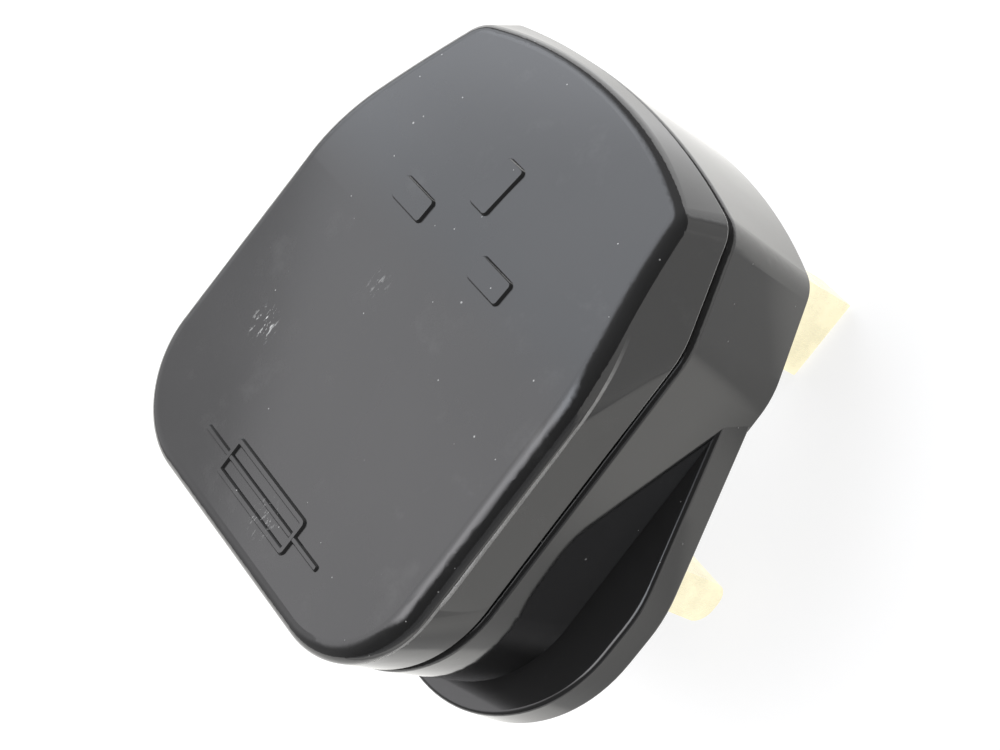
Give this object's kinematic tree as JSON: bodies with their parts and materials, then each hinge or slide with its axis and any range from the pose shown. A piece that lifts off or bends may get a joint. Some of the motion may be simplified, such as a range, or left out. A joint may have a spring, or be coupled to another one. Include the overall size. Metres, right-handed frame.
{
  "type": "three pin mains plug",
  "caption": "Rewirable mains plug with rectangular brass pins, a flanged moulded base, a crowned screw-on cover, an internal cartridge fuse and a round cord entry.",
  "frame": {"origin": "on the pin face, midway between the line and neutral pins", "axes": "+X towards the line pin, +Y towards the earth pin, +Z from the pin face towards the back of the cover; the pins point to -Z"},
  "size_m": [0.048, 0.0485, 0.0428],
  "materials": {
    "housing": "satin black moulding",
    "pin_brass": "bright drawn brass",
    "sleeve": "satin",
    "steel": "zinc plated",
    "washer": "matt fibre",
    "clip": "spring strip",
    "fuse_body": "unglazed",
    "fuse_cap": "plated",
    "fuse_element": "drawn wire",
    "grip": "matt fibre"
  },
  "bodies": {
    "root": {"base": "housing", "cover": "housing", "cover_screw": "steel", "screw_retaining_washer": "washer", "cover_nut": "steel", "earth_pin": "pin_brass", "neutral_pin": "pin_brass", "line_pin": "pin_brass", "neutral_sleeve": "sleeve", "line_sleeve": "sleeve", "terminal_screws": "steel", "line_terminal": "pin_brass", "lower_fuse_clip": "clip", "upper_fuse_clip": "clip", "clip_rivets": "pin_brass", "fuse_tube": "fuse_body", "fuse_end_caps": "fuse_cap", "fuse_wire": "fuse_element", "cord_grip": "grip", "cord_grip_screws": "steel"}
  },
  "joints": []
}
